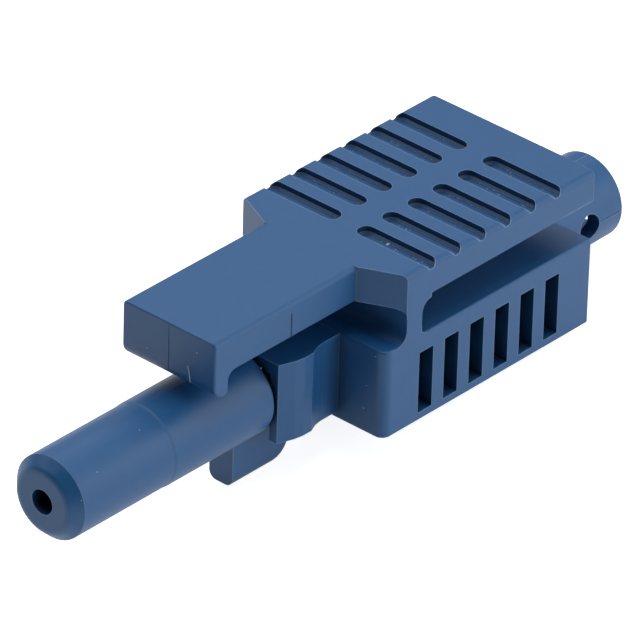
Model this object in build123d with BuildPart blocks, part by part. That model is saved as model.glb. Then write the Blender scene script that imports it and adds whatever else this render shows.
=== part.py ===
"""Optical audio plug for a plastic fibre: a one-piece moulding with a ferrule, a finned body and a latch lever.

X runs along the fibre from the ferrule's tip to the cable end, and Z points up, to the lever's side.
The origin is the centre of the fibre's hole at the tip. All sizes are in millimetres.
"""

import os

from build123d import *

os.makedirs("parts", exist_ok=True)

# Fibre and cable passage, in from the cable end
fibre_hole_r = 0.5
cable_hole_r = 1.15
cable_hole_start = 13.2

# Ferrule: a coned tip with a softened face, a faint step where two mould inserts meet, and a rounded rear
tip_face_r = 1.26
tip_face_round = 0.35
tip_cone_length = 0.46
nose_r = 1.69
mould_step_start = 5.15
mould_step_end = 5.28
ferrule_r = 1.71
ferrule_end = 10.55
ferrule_rear_round = 0.15
core_r = 1.25

# Keel under the ferrule's rear end
keel_front = 9.55
keel_rear = 12.8
keel_half_thickness = 0.58
keel_bottom = -3.56
keel_edge_round = 0.36
keel_rear_round = 1.0

# Neck block and the two snap leaves in front of it
neck_front = 12.95
neck_half_width = 1.80
neck_bottom = -1.65
neck_top = 1.72
neck_roof_bottom = 1.2
leaf_front = 10.66
leaf_thickness = 0.39
leaf_front_y = 1.70
leaf_ramp_end = 11.34
leaf_ramp_y = 1.95
leaf_crest_start = 11.75
leaf_crest_end = 12.2
leaf_crest_y = 2.02
leaf_back_end = 12.62
leaf_back_y = 1.85

# Main box, with a row of windows down each side
box_front = 13.86
box_rear = 25.34
half_width = 4.05
box_bottom = -1.96
box_top = 1.76
box_front_round = 0.4
box_edge_round = 0.1
window_count = 6
window_first_x = 16.15
window_pitch = 1.41
window_width = 0.77
window_bottom = -1.60
window_top = 1.00
spine_half_width = 1.8

# Barrel for the crimp, with a glue hole across it
barrel_r = 1.74
barrel_end = 30.0
barrel_rim_round = 0.06
glue_hole_x = 28.1
glue_hole_r = 0.55

# Web that carries the lever. Its middle stretch is the one that bends.
web_front = 15.0
web_rear = 15.84
web_foot_front_round = 0.45
web_foot_rear_round = 0.25
web_head_front_round = 0.3
web_head_rear_round = 0.5
flex_bottom = 2.24
flex_top = 2.66

# Lever: an arm with a hook in front of the web and a grooved thumb pad behind it
lever_bottom = 3.17
lever_top = 4.64
hook_front = 6.57
hook_rear = 7.32
hook_bottom = 2.27
hook_front_round = 0.54
hook_rear_round = 0.18
hook_root_round = 0.38
arm_half_width = 2.27
arm_top_round = 0.2
arm_rim_round = 0.08
shoulder_start = 14.15
shoulder_end = 14.97
pad_rear = 25.46
pad_top_round = 0.25
pad_bottom_round = 0.3
pad_rim_round = 0.1

# Thumb grooves, in two columns across the pad
groove_rows = 6
groove_first_x = 16.28
groove_pitch = 1.398
groove_width = 0.74
groove_depth = 0.3
groove_inner_y = 0.50
groove_outer_y = 4.07
groove_floor_chamfer = 0.08


# Keel blade: its side profile carried both ways, with the long lower edges rounded
with BuildPart() as keel:
    with BuildSketch(Plane.XZ) as keel_profile:
        with BuildLine():
            Polyline(
                (keel_front, -core_r / 2),
                (keel_front, keel_bottom),
                (keel_rear, keel_bottom),
                (keel_rear, -core_r / 2),
                close=True,
            )
        make_face()
        lower_rear_corner = keel_profile.vertices().sort_by_distance((keel_rear, keel_bottom))[0]
        fillet(lower_rear_corner, keel_rear_round)
    extrude(amount=keel_half_thickness, both=True)
    lowest_face = keel.faces().sort_by(Axis.Z)[0]
    fillet(lowest_face.edges().filter_by(Axis.X), keel_edge_round)


# Moulded body: box, neck, leaves, ferrule, keel, barrel and the foot of the lever's web
with BuildPart() as connector_body:
    # Box, rounded most at its two front corners
    with BuildSketch(Plane.XY.offset(box_bottom)) as box_plan:
        with Locations(((box_front + box_rear) / 2, 0)):
            Rectangle(box_rear - box_front, 2 * half_width)
        fillet(box_plan.vertices().group_by(Axis.X)[0], box_front_round)
    extrude(amount=box_top - box_bottom)
    box_ends = connector_body.faces().sort_by(Axis.Z)
    box_rims = box_ends[0].edges() + box_ends[-1].edges()
    fillet(box_rims, box_edge_round)

    # Windows, cut in from both sides as far as the spine round the cable
    for side in (1, -1):
        with BuildSketch(Plane.XZ.offset(side * half_width)):
            window_mid_x = window_first_x + window_pitch * (window_count - 1) / 2
            with Locations((window_mid_x, (window_bottom + window_top) / 2)):
                with GridLocations(window_pitch, 0, window_count, 1):
                    Rectangle(window_width, window_top - window_bottom)
        extrude(amount=-side * (half_width - spine_half_width), mode=Mode.SUBTRACT)

    # Neck block and the two leaves, each with a ramp, a crest and a step back down
    with BuildSketch(Plane.XY.offset(neck_bottom)):
        with Locations(((neck_front + box_front) / 2, 0)):
            Rectangle(box_front - neck_front + box_front_round, 2 * neck_half_width)
        with BuildLine():
            Polyline(
                (neck_front, leaf_front_y - leaf_thickness),
                (leaf_front, leaf_front_y - leaf_thickness),
                (leaf_front, leaf_front_y),
                (leaf_ramp_end, leaf_ramp_y),
                (leaf_crest_start, leaf_crest_y),
                (leaf_crest_end, leaf_crest_y),
                (leaf_back_end, leaf_back_y),
                (neck_front, neck_half_width),
                close=True,
            )
        make_face()
        mirror(about=Plane.XZ)
    extrude(amount=neck_top - neck_bottom)

    # Roof that joins the two leaves' upper edges over the core
    with BuildSketch(Plane.XY.offset(neck_roof_bottom)):
        with Locations(((leaf_front + neck_front) / 2, 0)):
            Rectangle(neck_front - leaf_front, 2 * leaf_front_y - leaf_thickness)
    extrude(amount=neck_top - neck_roof_bottom)

    # Ferrule and the round core that joins it to the neck, turned about the fibre's axis
    with BuildSketch(Plane.XZ) as ferrule_profile:
        with BuildLine():
            Polyline(
                (0, 0),
                (0, tip_face_r),
                (tip_cone_length, nose_r),
                (mould_step_start, nose_r),
                (mould_step_end, ferrule_r),
                (ferrule_end, ferrule_r),
                (ferrule_end, core_r),
                (neck_front + 0.1, core_r),
                (neck_front + 0.1, 0),
                close=True,
            )
        make_face()
        face_edge = ferrule_profile.vertices().sort_by_distance((0, tip_face_r))[0]
        fillet(face_edge, tip_face_round)
        rear_shoulder = ferrule_profile.vertices().sort_by_distance((ferrule_end, ferrule_r))[0]
        fillet(rear_shoulder, ferrule_rear_round)
    revolve(axis=Axis.X)
    add(keel.part)

    # Barrel, from inside the box out to the cable end, its seam on top where the mould's halves meet
    with BuildSketch(Plane.XZ) as barrel_profile:
        with Locations((box_rear - 1, 0)):
            Rectangle(barrel_end - box_rear + 1, barrel_r, align=(Align.MIN, Align.MIN))
        rim = barrel_profile.vertices().sort_by_distance((barrel_end, barrel_r))[0]
        fillet(rim, barrel_rim_round)
    revolve(axis=Axis.X)

    # Foot of the web, flush with the box's sides
    with BuildSketch(Plane.XZ):
        with BuildLine():
            Polyline(
                (web_front - web_foot_front_round, box_top),
                (web_front - web_foot_front_round, box_top - 0.3),
                (web_rear + web_foot_rear_round, box_top - 0.3),
                (web_rear + web_foot_rear_round, box_top),
            )
            TangentArc(
                (web_rear + web_foot_rear_round, box_top),
                (web_rear, box_top + web_foot_rear_round),
                tangent=(-1, 0),
            )
            Polyline(
                (web_rear, box_top + web_foot_rear_round),
                (web_rear, flex_bottom),
                (web_front, flex_bottom),
                (web_front, box_top + web_foot_front_round),
            )
            TangentArc(
                (web_front - web_foot_front_round, box_top),
                (web_front, box_top + web_foot_front_round),
                tangent=(1, 0),
            )
        make_face()
    extrude(amount=half_width, both=True)

    # Passage for the fibre and its jacket, and the glue hole across the barrel
    with BuildSketch(Plane.YZ):
        Circle(fibre_hole_r)
    extrude(amount=cable_hole_start, mode=Mode.SUBTRACT)
    with BuildSketch(Plane.YZ.offset(cable_hole_start)):
        Circle(cable_hole_r)
    extrude(amount=barrel_end - cable_hole_start, mode=Mode.SUBTRACT)
    with BuildSketch(Plane.XZ):
        with Locations((glue_hole_x, 0)):
            Circle(glue_hole_r)
    extrude(amount=2 * barrel_r, both=True, mode=Mode.SUBTRACT)

connector_body.part.label = "connector_body"
export_step(connector_body.part, "parts/connector_body.step")


# Middle of the web, the stretch that bends when the pad is pressed
with BuildPart() as flex_web:
    with BuildSketch(Plane.XY.offset(flex_bottom)):
        with Locations(((web_front + web_rear) / 2, 0)):
            Rectangle(web_rear - web_front, 2 * half_width)
    extrude(amount=flex_top - flex_bottom)

flex_web.part.label = "flex_web"
export_step(flex_web.part, "parts/flex_web.step")


# Arm with its hook: the side profile carried both ways, with softened long edges and rim
with BuildPart() as arm:
    with BuildSketch(Plane.XZ) as arm_profile:
        with BuildLine():
            Polyline(
                (hook_front, lever_top),
                (hook_front, hook_bottom),
                (hook_rear, hook_bottom),
                (hook_rear, lever_bottom),
                (shoulder_end, lever_bottom),
                (shoulder_end, lever_top),
                close=True,
            )
        make_face()
        hook_corners = (
            ((hook_front, hook_bottom), hook_front_round),
            ((hook_rear, hook_bottom), hook_rear_round),
            ((hook_rear, lever_bottom), hook_root_round),
        )
        for corner, corner_round in hook_corners:
            fillet(arm_profile.vertices().sort_by_distance(corner)[0], corner_round)
    extrude(amount=arm_half_width, both=True)
    arm_top_edges = arm.faces().sort_by(Axis.Z)[-1].edges().filter_by(Axis.X)
    fillet(arm_top_edges, arm_top_round)
    arm_front_edges = arm.faces().sort_by(Axis.X)[0].edges().sort_by(Axis.Z)
    fillet(arm_front_edges[1:], arm_rim_round)


# Cutter for the thumb grooves: round-ended slots with their floor's edge broken
with BuildPart() as grooves:
    with BuildSketch(Plane.XY.offset(lever_top - groove_depth)):
        groove_mid_x = groove_first_x + groove_pitch * (groove_rows - 1) / 2
        groove_column_gap = groove_inner_y + groove_outer_y
        with Locations((groove_mid_x, 0)):
            with GridLocations(groove_pitch, groove_column_gap, groove_rows, 2):
                SlotOverall(groove_outer_y - groove_inner_y, groove_width, rotation=90)
    extrude(amount=groove_depth + 0.2)
    chamfer(grooves.edges().group_by(Axis.Z)[0], groove_floor_chamfer)


# Pad in plan, with slanted shoulders in front
with BuildSketch(Plane.XY.offset(lever_bottom)) as pad_plan:
    with BuildLine():
        Polyline(
            (shoulder_start, -arm_half_width),
            (shoulder_end, -half_width),
            (pad_rear, -half_width),
            (pad_rear, half_width),
            (shoulder_end, half_width),
            (shoulder_start, arm_half_width),
            close=True,
        )
    make_face()


# Head of the web, flush with the pad's sides, flared into its underside and kept inside the pad's plan
with BuildPart() as web_head:
    with BuildSketch(Plane.XZ):
        with BuildLine():
            Polyline(
                (web_rear + web_head_rear_round, lever_bottom),
                (web_rear + web_head_rear_round, lever_bottom + pad_bottom_round),
                (web_front - web_head_front_round, lever_bottom + pad_bottom_round),
                (web_front - web_head_front_round, lever_bottom),
            )
            TangentArc(
                (web_front - web_head_front_round, lever_bottom),
                (web_front, lever_bottom - web_head_front_round),
                tangent=(1, 0),
            )
            Polyline(
                (web_front, lever_bottom - web_head_front_round),
                (web_front, flex_top),
                (web_rear, flex_top),
                (web_rear, lever_bottom - web_head_rear_round),
            )
            TangentArc(
                (web_rear + web_head_rear_round, lever_bottom),
                (web_rear, lever_bottom - web_head_rear_round),
                tangent=(-1, 0),
            )
        make_face()
    extrude(amount=half_width, both=True)
    extrude(pad_plan.sketch, amount=lever_top - lever_bottom, both=True, mode=Mode.INTERSECT)


# Lever: thumb pad, arm and the upper end of the web
with BuildPart() as latch_lever:
    extrude(pad_plan.sketch, amount=lever_top - lever_bottom)
    pad_top_edges = latch_lever.faces().sort_by(Axis.Z)[-1].edges()
    fillet(pad_top_edges.filter_by(Axis.X), pad_top_round)
    pad_bottom_edges = latch_lever.faces().sort_by(Axis.Z)[0].edges()
    fillet(pad_bottom_edges.filter_by(Axis.X), pad_bottom_round)
    fillet(latch_lever.faces().sort_by(Axis.X)[-1].edges(), pad_rim_round)
    add(arm.part)
    add(web_head.part)
    add(grooves.part, mode=Mode.SUBTRACT)

latch_lever.part.label = "latch_lever"
export_step(latch_lever.part, "parts/latch_lever.step")
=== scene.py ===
import math

import bpy
import numpy as np
from mathutils import Matrix, Vector


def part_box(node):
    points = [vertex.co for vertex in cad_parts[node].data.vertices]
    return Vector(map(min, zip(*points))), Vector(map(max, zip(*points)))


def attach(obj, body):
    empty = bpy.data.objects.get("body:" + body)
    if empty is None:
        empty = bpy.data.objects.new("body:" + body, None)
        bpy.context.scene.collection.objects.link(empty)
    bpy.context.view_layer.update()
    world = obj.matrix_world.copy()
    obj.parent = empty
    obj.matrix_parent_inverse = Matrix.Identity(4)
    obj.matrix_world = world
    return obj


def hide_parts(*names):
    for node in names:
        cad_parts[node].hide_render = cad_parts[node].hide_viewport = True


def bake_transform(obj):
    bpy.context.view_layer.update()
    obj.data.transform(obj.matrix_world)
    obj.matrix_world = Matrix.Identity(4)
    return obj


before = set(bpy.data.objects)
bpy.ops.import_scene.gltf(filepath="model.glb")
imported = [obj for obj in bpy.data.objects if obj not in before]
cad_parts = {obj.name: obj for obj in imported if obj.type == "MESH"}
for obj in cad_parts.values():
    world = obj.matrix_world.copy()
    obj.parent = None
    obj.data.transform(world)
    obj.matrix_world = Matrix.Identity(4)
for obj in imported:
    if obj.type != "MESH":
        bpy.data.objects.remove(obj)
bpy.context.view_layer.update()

mm = 0.001


# The moulding's plastic: a glass-filled nylon, coloured blue in the mass and moulded in a lightly sparked
# steel tool. That gives the eye a satin skin, an even deep blue with a faint cloudiness where the filler
# lies near the surface, and rare pale dots where a grain of it lies in the skin.
def linear(hex_colour):
    """sRGB hex to linear RGBA: each channel c becomes c / 12.92 up to 0.04045, and
    ((c + 0.055) / 1.055) ** 2.4 above it."""
    srgb = np.array([int(hex_colour[i:i + 2], 16) for i in (1, 3, 5)]) / 255
    low = srgb / 12.92
    high = ((srgb + 0.055) / 1.055) ** 2.4
    return (*np.where(srgb <= 0.04045, low, high).tolist(), 1.0)


def fresh_tree(owner):
    """Switches on the nodes of a material or world and empties its tree."""
    owner.use_nodes = True
    owner.node_tree.nodes.clear()
    return owner.node_tree


def node(tree, kind, settings=(), **links):
    """Adds one shader node. settings are its attributes. links are its input sockets, each given a value or
    another node's socket: Base_Color is the socket of that name, and i6 is the one with that number. On a
    mix of colours i0 is the share of the second, and i6 and i7 are the two."""
    made = tree.nodes.new(kind)
    for name, value in dict(settings).items():
        setattr(made, name, value)
    for name, value in links.items():
        by_number = name[0] == "i" and name[1:].isdigit()
        socket = made.inputs[int(name[1:]) if by_number else name.replace("_", " ")]
        if isinstance(value, bpy.types.NodeSocket):
            tree.links.new(value, socket)
        else:
            socket.default_value = value
    return made


web_low, web_high = (np.array(corner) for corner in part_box("flex_web"))
web_middle = (web_low + web_high) / 2


def glass_filled_nylon(name, base, filler, edge_highlight, grain_colour, recess_shade_colour):
    """Satin nylon: the base colour with cloudy filler, painted highlights on edges, filler grains, painted
    shade in recesses, a fine skin bump and uneven gloss."""
    cloud_size, skin_size, skin_depth = 0.7 * mm, 0.08 * mm, 0.008 * mm
    edge_reach, recess_reach, joint_margin = 0.07 * mm, 1.2 * mm, 0.09 * mm
    cell_size, dot_radius = 1.6 * mm, 0.025 * mm
    edge_highlight_strength, dot_paleness, recess_shade_strength = 0.6, 0.6, 0.90
    colours, multiply = {"data_type": "RGBA"}, {"operation": "MULTIPLY"}
    material = bpy.data.materials.new(name)
    tree = fresh_tree(material)
    place = node(tree, "ShaderNodeTexCoord").outputs["Object"]
    clouds = node(
        tree, "ShaderNodeTexNoise", Vector=place, Scale=1 / cloud_size, Detail=7.0, Roughness=0.72,
    )
    mass = node(
        tree, "ShaderNodeMix", colours, i0=clouds.outputs["Fac"], i6=linear(base), i7=linear(filler),
    )
    # Painted highlight on edges: where the surface turns within edge_reach the colour is paler, in thin pale
    # lines
    #     # that stand in for the light that small edge rounds catch.
    turned = node(tree, "ShaderNodeBevel", {"samples": 6}, Radius=edge_reach)
    flat = node(tree, "ShaderNodeNewGeometry")
    agree = node(
        tree, "ShaderNodeVectorMath", {"operation": "DOT_PRODUCT"},
        i0=turned.outputs[0], i1=flat.outputs["Normal"],
    )
    edge = node(
        tree, "ShaderNodeMapRange", Value=agree.outputs["Value"],
        From_Min=0.995, From_Max=0.86, To_Min=0.0, To_Max=edge_highlight_strength,
    )
    # The web's joints are cuts in the model only, as the moulding is one piece, so they get no pale line.
    web_half = (web_high - web_low) / 2 + joint_margin
    axes = node(tree, "ShaderNodeSeparateXYZ", Vector=place)
    beside_x, beside_z = (
        node(
            tree, "ShaderNodeMath", {"operation": "COMPARE"},
            i0=axes.outputs[axis], i1=float(web_middle[axis]), i2=float(web_half[axis]),
        )
        for axis in (0, 2)
    )
    at_joint = node(tree, "ShaderNodeMath", multiply, i0=beside_x.outputs[0], i1=beside_z.outputs[0])
    elsewhere = node(tree, "ShaderNodeMath", {"operation": "SUBTRACT"}, i0=1.0, i1=at_joint.outputs[0])
    edge_highlight_share = node(tree, "ShaderNodeMath", multiply, i0=edge.outputs[0], i1=elsewhere.outputs[0])
    edged = node(tree, "ShaderNodeMix", colours, i0=edge_highlight_share.outputs[0], i6=mass.outputs[2], i7=linear(edge_highlight))
    # Filler grains: rare pale dots where a grain lies in the skin.
    cells = node(tree, "ShaderNodeTexVoronoi", Vector=place, Scale=1 / cell_size)
    dot = node(
        tree, "ShaderNodeMath", {"operation": "LESS_THAN"},
        i0=cells.outputs["Distance"], i1=dot_radius / cell_size,
    )
    faint_dot = node(tree, "ShaderNodeMath", multiply, i0=dot.outputs[0], i1=dot_paleness)
    dotted = node(
        tree, "ShaderNodeMix", colours,
        i0=faint_dot.outputs[0], i6=edged.outputs[2], i7=linear(grain_colour),
    )
    # Recesses: painted shade in the colour, which darkens the grooves and windows as shade would; how
    # enclosed
    #     # a place is, within recess_reach, says how dark.
    open_sky = node(tree, "ShaderNodeAmbientOcclusion", {"samples": 8}, Distance=recess_reach)
    recess_shade = node(
        tree, "ShaderNodeMapRange", Value=open_sky.outputs["AO"],
        From_Min=0.22, From_Max=0.86, To_Min=recess_shade_strength, To_Max=0.0,
    )
    colour = node(
        tree, "ShaderNodeMix", colours, i0=recess_shade.outputs[0], i6=dotted.outputs[2], i7=linear(recess_shade_colour),
    )
    rough = node(tree, "ShaderNodeMapRange", Value=clouds.outputs["Fac"], To_Min=0.40, To_Max=0.52)
    sparked = node(tree, "ShaderNodeTexNoise", Vector=place, Scale=1 / skin_size, Detail=3.0)
    bump = node(tree, "ShaderNodeBump", Height=sparked.outputs["Fac"], Strength=0.30, Distance=skin_depth)
    skin = node(
        tree, "ShaderNodeBsdfPrincipled",
        Base_Color=colour.outputs[2], Roughness=rough.outputs[0], Normal=bump.outputs[0], IOR=1.53,
    )
    node(tree, "ShaderNodeOutputMaterial", Surface=skin.outputs[0])
    return material


def plain_plastic(name, colour, roughness):
    """One colour and one roughness all over, with the nylon's own refraction."""
    material = bpy.data.materials.new(name)
    tree = fresh_tree(material)
    skin = node(tree, "ShaderNodeBsdfPrincipled", Base_Color=linear(colour), Roughness=roughness, IOR=1.53)
    node(tree, "ShaderNodeOutputMaterial", Surface=skin.outputs[0])
    return material


# The pale edge colour is a painted highlight, and the very dark recess colour is a painted shade.
blue_nylon = glass_filled_nylon(
    "blue_glass_filled_nylon", base="#104F85", filler="#1F5E94", edge_highlight="#86A8CC",
    grain_colour="#C9D2DC", recess_shade_colour="#0A1426",
)


# Body and lever: the two rigid stretches of the one moulding, from the ferrule's tip to the crimp barrel,
# and from the hook to the thumb pad. They are CAD solids, skinned with the nylon.
for name in ("connector_body", "latch_lever"):
    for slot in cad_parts[name].material_slots:
        slot.link = "OBJECT"
        slot.material = blue_nylon


# Bending stretch of the web: the thin upright wall that joins body and lever. It is the same nylon, in one
# piece with both. On the real plug it bends as a leaf spring when the pad is pressed; here it is built
# straight and fixed.
def web_wall(u, v):
    """The web's outer wall: u goes once round the rectangle of its plan, from 0 to 4 with 1 for each side,
    and v goes up it from 0 to 1."""
    corner = np.arange(5)
    x = np.interp(u, corner, (web_low[0], web_high[0], web_high[0], web_low[0], web_low[0]))
    y = np.interp(u, corner, (web_low[1], web_low[1], web_high[1], web_high[1], web_low[1]))
    return x, y, web_low[2] + (web_high[2] - web_low[2]) * v


rows, sides = 9, 4
u, v = np.meshgrid(np.arange(sides), np.linspace(0, 1, rows))
points = np.stack(web_wall(u, v), -1).reshape(-1, 3)
here, there = np.arange(sides), (np.arange(sides) + 1) % sides
row = sides * np.arange(rows - 1)[:, None]
next_row = row + sides
walls = np.stack([row + here, row + there, next_row + there, next_row + here], -1).reshape(-1, 4)
ends = [here[::-1].tolist(), (sides * (rows - 1) + here).tolist()]
web_mesh = bpy.data.meshes.new("web_stretch")
web_mesh.from_pydata(points.tolist(), [], walls.tolist() + ends)
web = bpy.data.objects.new("web_stretch", web_mesh)
bpy.context.scene.collection.objects.link(web)
web_mesh.materials.append(blue_nylon)
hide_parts("flex_web")
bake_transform(web)


# Mould marks: fine beads of the same nylon that squeeze into the tool's joints. The tool opens along the
# barrel's top and sides, and its slides meet on the front face and the sides of the lever's arm. The beads
# on the arm are coloured very dark blue: a painted shade for the shadow that falls along them.
def bead(centres, across, out, around=10):
    """Closed bead: point(v, u) = centre(v) + across(v) cos u + out(v) sin u, and each end station is one
    point. The corners of its faces are taken the other way round where across x out points backwards."""
    u = np.arange(around)[:, None] * 2 * np.pi / around
    rings = centres[1:-1, None] + across[1:-1, None] * np.cos(u) + out[1:-1, None] * np.sin(u)
    points = np.concatenate([centres[:1], rings.reshape(-1, 3), centres[-1:]])
    here, there = np.arange(around), (np.arange(around) + 1) % around
    row = 1 + around * np.arange(len(centres) - 3)[:, None]
    next_row = row + around
    quads = np.stack([row + here, row + there, next_row + there, next_row + here], -1).reshape(-1, 4)
    first, last = np.zeros_like(here), np.full_like(here, len(points) - 1)
    caps = np.concatenate([
        np.stack([first, 1 + there, 1 + here], -1),
        np.stack([last, last - around + here, last - around + there], -1),
    ])
    middle_row = len(centres) // 2
    ahead = centres[middle_row + 1] - centres[middle_row]
    step = 1 if np.dot(np.cross(across[middle_row], out[middle_row]), ahead) > 0 else -1
    return points, quads[:, ::step], caps[:, ::step]


def along(path, side, out, half_width, height):
    """Bead along a path of points in mm. Width and height die away at both ends as sqrt(1 - (2t - 1)^8), and
    the height also wavers by a quarter as sin(17t + x) sin(41t), with x where the path starts."""
    t = np.linspace(0, 1, len(path))[:, None]
    full = np.sqrt(1 - (2 * t - 1) ** 8)
    uneven = 1 + 0.25 * np.sin(17 * t + path[0, 0]) * np.sin(41 * t)
    widths = np.asarray(side) * full * half_width
    heights = np.asarray(out) * full * uneven * height
    return bead(path * mm, widths * mm, heights * mm)


def beads_object(name, beads, material, body):
    """One object from several closed beads, riding a body. Each bead's faces count on from the last one's
    points."""
    faces, start = [], 0
    for points, quads, caps in beads:
        faces += (quads + start).tolist() + (caps + start).tolist()
        start += len(points)
    mesh = bpy.data.meshes.new(name)
    mesh.from_pydata(np.concatenate([points for points, quads, caps in beads]).tolist(), [], faces)
    mesh.shade_smooth()
    mesh.materials.append(material)
    made = bpy.data.objects.new(name, mesh)
    bpy.context.scene.collection.objects.link(made)
    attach(made, body)


rearwards, to_far_side, upwards, forwards = (1.0, 0, 0), (0, 1, 0), (0, 0, 1), (-1.0, 0, 0)
stations = 60
barrel_r, barrel_rear_x = 1.735, 29.93
top_bead_x, side_bead_x = 25.45, 28.72
barrel_top = np.linspace((top_bead_x, 0, barrel_r), (barrel_rear_x, 0, barrel_r), stations)
barrel_side = np.linspace((side_bead_x, barrel_r, 0), (barrel_rear_x, barrel_r, 0), stations)
beads_object("barrel_parting_beads", [
    along(barrel_top, to_far_side, upwards, half_width=0.03, height=0.025),
    *(
        along(barrel_side * (1, side, 1), upwards, (0, side, 0), half_width=0.035, height=0.035)
        for side in (-1, 1)
    ),
], blue_nylon, "connector")

# Painted shade on the arm's joint beads: a thin, dull line of very dark blue for the shadow along each joint.
joint_painted_shade = plain_plastic("mould_joint_painted_shade", "#0B2143", roughness=0.6)
arm_front_x, arm_top_z, arm_foot_z = 6.57, 4.52, 2.86
hook_round, hook_round_z, hook_turn_deg = 0.54, 2.81, 60
hook_centre = np.array((arm_front_x + hook_round, 0, hook_round_z))
straight_stations, round_stations = 46, 14
bend = np.radians(np.linspace(0, hook_turn_deg, round_stations))
bend_out = np.stack([-np.cos(bend), 0 * bend, -np.sin(bend)], -1)
front_path = np.concatenate([
    np.linspace((arm_front_x, 0, arm_top_z), (arm_front_x, 0, arm_foot_z), straight_stations),
    hook_centre + hook_round * bend_out,
])
front_out = np.concatenate([np.tile(forwards, (straight_stations, 1)), bend_out])
arm_joint_x, arm_half_width, arm_joint_low_z, arm_joint_high_z = 10.66, 2.265, 3.16, 4.22
arm_side = np.linspace(
    (arm_joint_x, arm_half_width, arm_joint_low_z), (arm_joint_x, arm_half_width, arm_joint_high_z), stations,
)
beads_object("arm_parting_beads", [
    along(front_path, to_far_side, front_out, half_width=0.014, height=0.010),
    *(
        along(arm_side * (1, side, 1), rearwards, (0, side, 0), half_width=0.03, height=0.03)
        for side in (-1, 1)
    ),
], joint_painted_shade, "lever")


# Flash: a sliver of the nylon squeezed out of the tool's joint at the hook's front and left standing. Drawn
# so thin the nylon whitens, which gives the eye a pale hair on the blue.
pale_flash = plain_plastic("stress_whitened_nylon_flash", "#9FB4CC", roughness=0.5)
curl_top_z, curl_length, curl_y, curl_stand_off = 3.27, 0.77, -1.04, 0.012
sway_width, bump_width, bump_place, bump_spread = 0.03, 0.06, 0.1, 0.1
drop = np.linspace(0, 1, stations)
curl_z = curl_top_z - curl_length * drop
below_round = np.clip(hook_round_z - curl_z, 0, None)
hook_front_x = hook_centre[0] - np.sqrt(hook_round ** 2 - below_round ** 2)
# Sideways it sways as sin(7 drop), and near its top a bell curve gives it a bump.
sway = sway_width * np.sin(7 * drop) + bump_width * np.exp(-((drop - bump_place) / bump_spread) ** 2)
curl = np.stack([hook_front_x - curl_stand_off, curl_y + sway, curl_z], -1)
beads_object("flash_curl", [
    along(curl, to_far_side, forwards, half_width=0.02, height=0.025),
], pale_flash, "lever")


# Dust and painted glints: pale grains that lie in the grooves and on the faces. They stand partly for plastic
# dust and filler left after deburring, and partly as painted glints for light sparkling along the grooves'
# rear walls. The grooves hold many fine ones in no order, most of them towards the rear wall, and the larger
# ones stand each in its place. They give the eye pale, dull specks.
def grain(place, across, out, size):
    """Flattened ball at place, in mm: a bead along across x out whose width and height go as sqrt(1 - s^2),
    with s from -1 to 1 along it."""
    s = np.linspace(-1, 1, 9)[:, None]
    spread, flatness = 1.4, 0.6
    full = np.sqrt(1 - s ** 2)
    centres = np.asarray(place) + s * np.cross(across, out) * size
    widths = np.asarray(across) * full * size * spread
    heights = np.asarray(out) * full * size * flatness
    return bead(centres * mm, widths * mm, heights * mm, around=8)


dust_and_glints = plain_plastic("pale_dust_and_painted_glints", "#B4C3D4", roughness=0.7)
first_groove_x, groove_pitch, grooves, groove_floor_z = 16.28, 1.398, 6, 4.34
groove_front, groove_rear, groove_inner_y, groove_outer_y = -0.26, 0.27, 0.88, 3.70
settled_at, settled_within = 0.17, 0.10
finest, coarser_by = 0.006, 0.016
forward_face, groove_floor = (to_far_side, forwards), (rearwards, upwards)
count = 120
rng = np.random.default_rng(7)
groove_x = first_groove_x + groove_pitch * rng.integers(0, grooves, count)
groove_x = groove_x + np.clip(rng.normal(settled_at, settled_within, count), groove_front, groove_rear)
groove_y = rng.choice((-1, 1), count) * rng.uniform(groove_inner_y, groove_outer_y, count)
groove_size = finest + coarser_by * rng.random(count) ** 3
groove_places = np.stack([groove_x, groove_y, np.full(count, groove_floor_z)], -1)
beads_object("groove_dust_and_glints", [
    grain(place, *groove_floor, size) for place, size in zip(groove_places, groove_size)
], dust_and_glints, "lever")
beads_object("lever_dust_and_glints", [
    grain(place, *face, size) for place, face, size in (
        ((arm_front_x, 1.05, 3.10), forward_face, 0.022),
        ((arm_front_x, -1.38, 3.95), forward_face, 0.026),
        ((16.50, -1.72, groove_floor_z), groove_floor, 0.065),
        ((18.31, -3.53, groove_floor_z), groove_floor, 0.035),
        ((18.21, -3.33, groove_floor_z), groove_floor, 0.025),
        ((21.19, -1.70, groove_floor_z), groove_floor, 0.02),
        ((21.99, -2.32, groove_floor_z), groove_floor, 0.025),
        ((20.55, 1.83, groove_floor_z), groove_floor, 0.02),
        ((22.08, 2.74, groove_floor_z), groove_floor, 0.02),
    )
], dust_and_glints, "lever")
body_front_x = 13.86
beads_object("body_dust_and_glints", [
    grain(place, *face, size) for place, face, size in (
        ((body_front_x, -3.08, -0.94), forward_face, 0.02),
        ((body_front_x, -3.18, 0.08), forward_face, 0.018),
        ((body_front_x, -3.57, 1.50), forward_face, 0.02),
        ((4.22, -0.80, 1.49), (rearwards, (0, -0.47, 0.88)), 0.02),
        ((1.52, -1.25, 1.14), (rearwards, (0, -0.74, 0.67)), 0.018),
        ((10.49, -1.00, 1.39), (rearwards, (0, -0.58, 0.81)), 0.03),
    )
], dust_and_glints, "connector")


# Table: a plain sheet of uncoated white card that the plug lies on. It touches the keel, the barrel's end and
# the far rear corner of the box, so it slopes a little to the plug's own axes. It gives the eye an even white
# without a highlight, and is a little darker as a reflection in the plastic.
middle_x, table_size, card_white = 0.015, 0.6, 0.75
seen_glow, mirrored_glow = 0.85, 0.6
table_normal = Vector((-0.10, -0.064, 0.993)).normalized()
body_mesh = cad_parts["connector_body"].data
corners = np.empty(3 * len(body_mesh.vertices), np.float32)
body_mesh.vertices.foreach_get("co", corners)
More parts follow.
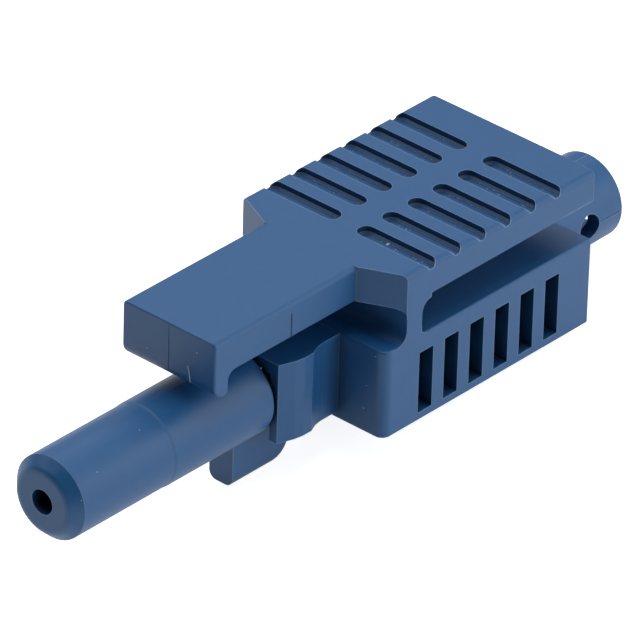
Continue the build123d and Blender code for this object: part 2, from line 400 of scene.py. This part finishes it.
# The card's height along its own normal is that of the body's lowest point, and its middle lies there below
# the plug's middle.
lowest = float((corners.reshape(-1, 3) @ np.array(table_normal)).min())
table_middle = Vector((middle_x, 0, 0)) + table_normal * (lowest - table_normal.x * middle_x)
tilt = Vector((0, 0, 1)).rotation_difference(table_normal).to_matrix().to_4x4()
bpy.ops.mesh.primitive_plane_add(size=table_size)
table = bpy.context.object
table.name = "table"
table.data.transform(Matrix.Translation(table_middle) @ tilt)
white = bpy.data.materials.new("white_card")
tree = fresh_tree(white)
ray = node(tree, "ShaderNodeLightPath")
card = node(tree, "ShaderNodeBsdfDiffuse", Color=(card_white, card_white, card_white, 1))
mirrored = node(
    tree, "ShaderNodeMath", {"operation": "MULTIPLY"}, i0=ray.outputs["Is Glossy Ray"], i1=mirrored_glow,
)
level = node(
    tree, "ShaderNodeMath", {"operation": "MULTIPLY_ADD"},
    i0=ray.outputs["Is Camera Ray"], i1=seen_glow, i2=mirrored.outputs[0],
)
glow = node(tree, "ShaderNodeEmission", Color=(1, 1, 1, 1), Strength=level.outputs[0])
both = node(tree, "ShaderNodeAddShader", i0=card.outputs[0], i1=glow.outputs[0])
node(tree, "ShaderNodeOutputMaterial", Surface=both.outputs[0])
table.data.materials.append(white)


# Studio: a white surround, seen but giving no light, and soft boxes on most sides as in a product light tent.
# The strongest stand overhead, at the plug's far side and low at its near side.
world = bpy.data.worlds.new("studio")
bpy.context.scene.world = world
tree = fresh_tree(world)
ray = node(tree, "ShaderNodeLightPath")
sky = node(tree, "ShaderNodeBackground", Color=(1, 1, 1, 1), Strength=ray.outputs["Is Camera Ray"])
node(tree, "ShaderNodeOutputWorld", Surface=sky.outputs[0])


def soft_box(name, place, aim, size, watts):
    """A square area lamp at place whose own -Z axis points at aim."""
    lamp = bpy.data.lights.new(name, "AREA")
    lamp.size = size
    lamp.energy = watts
    holder = bpy.data.objects.new(name, lamp)
    bpy.context.scene.collection.objects.link(holder)
    holder.location = place
    holder.rotation_euler = (Vector(aim) - Vector(place)).to_track_quat("-Z", "Y").to_euler()


# Each box stands at a turn about Z from the cable's end, and at a rise from level.
middle = Vector((middle_x, 0, 0))
box_distance, box_size = 0.35, 0.25
for name, turn_deg, rise_deg, watts in (
    ("overhead", 0, 90, 0.41),
    ("rear", 0, 50, 0.10),
    ("rear_near", -45, 45, 0.19),
    ("near_low", -90, 15, 0.33),
    ("rear_near_low", -45, 15, 0.36),
    ("far", 90, 45, 0.38),
    ("rear_far", 45, 45, 0.23),
    ("front_far", 135, 45, 0.12),
):
    turn, rise = math.radians(turn_deg), math.radians(rise_deg)
    way = Vector((math.cos(rise) * math.cos(turn), math.cos(rise) * math.sin(turn), math.sin(rise)))
    soft_box(name + "_soft_box", middle + box_distance * way, middle, box_size, watts)


# Camera: the photograph's own view, solved from the plug's straight edges and circles: the point that it aims
# at, its distance from there, its direction and its turn about the line of sight.
aim = Vector((14.817, 0, 1.091)) * mm
distance = 340.3 * mm
azimuth, elevation, roll = (math.radians(a) for a in (-48.905, 31.761, 1.700))
photo_focal_px = 9266.5
photo_px = 640
back = Vector((
    math.cos(elevation) * math.sin(azimuth), -math.cos(elevation) * math.cos(azimuth), math.sin(elevation),
))
right = (-back).cross(Vector((0, 0, 1))).normalized()
up = right.cross(-back)
turned_right = math.cos(roll) * right + math.sin(roll) * up
turned_up = math.cos(roll) * up - math.sin(roll) * right
camera_data = bpy.data.cameras.new("camera")
camera_data.sensor_width = 36
camera_data.lens = photo_focal_px / photo_px * camera_data.sensor_width
camera = bpy.data.objects.new("camera", camera_data)
bpy.context.scene.collection.objects.link(camera)
axes = Matrix((turned_right, turned_up, back)).transposed().to_4x4()
camera.matrix_world = Matrix.Translation(aim + back * distance) @ axes
bpy.context.scene.camera = camera
bpy.context.scene.view_settings.view_transform = "Standard"
